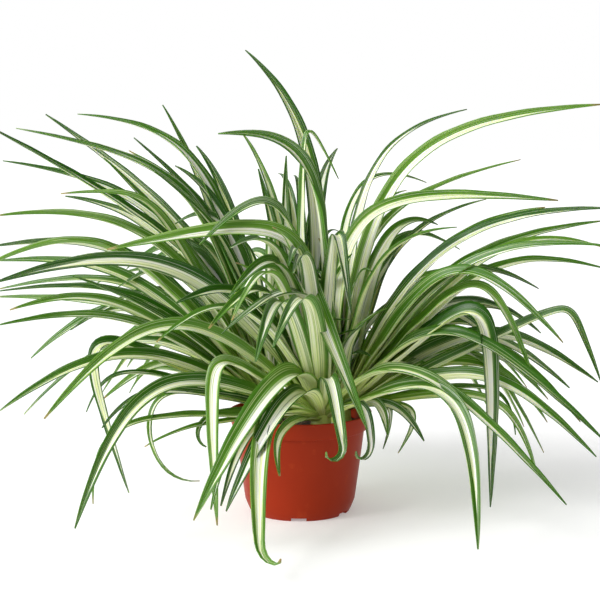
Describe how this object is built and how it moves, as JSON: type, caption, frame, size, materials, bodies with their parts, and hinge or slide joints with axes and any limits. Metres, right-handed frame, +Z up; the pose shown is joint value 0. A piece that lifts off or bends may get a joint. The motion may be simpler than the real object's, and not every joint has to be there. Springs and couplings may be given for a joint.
{
  "type": "potted spider plant",
  "caption": "Spider plant with arching green leaves striped with cream, growing in a round terracotta-red plastic nursery pot that stands on its base",
  "frame": {"origin": "the centre of the pot's base, on the surface that the pot stands on", "axes": "+Z up; +X across the plant's widest spread, to the right seen from the front; +Y to the back"},
  "size_m": [0.6853, 0.5914, 0.4903],
  "materials": {
    "pot_plastic": "satin",
    "soil": "matte",
    "leaf": "satin"
  },
  "bodies": {
    "root": {"pot": "pot_plastic", "soil": "soil", "plant_front": "leaf", "plant_right": "leaf", "plant_back": "leaf", "plant_left": "leaf"}
  },
  "joints": []
}
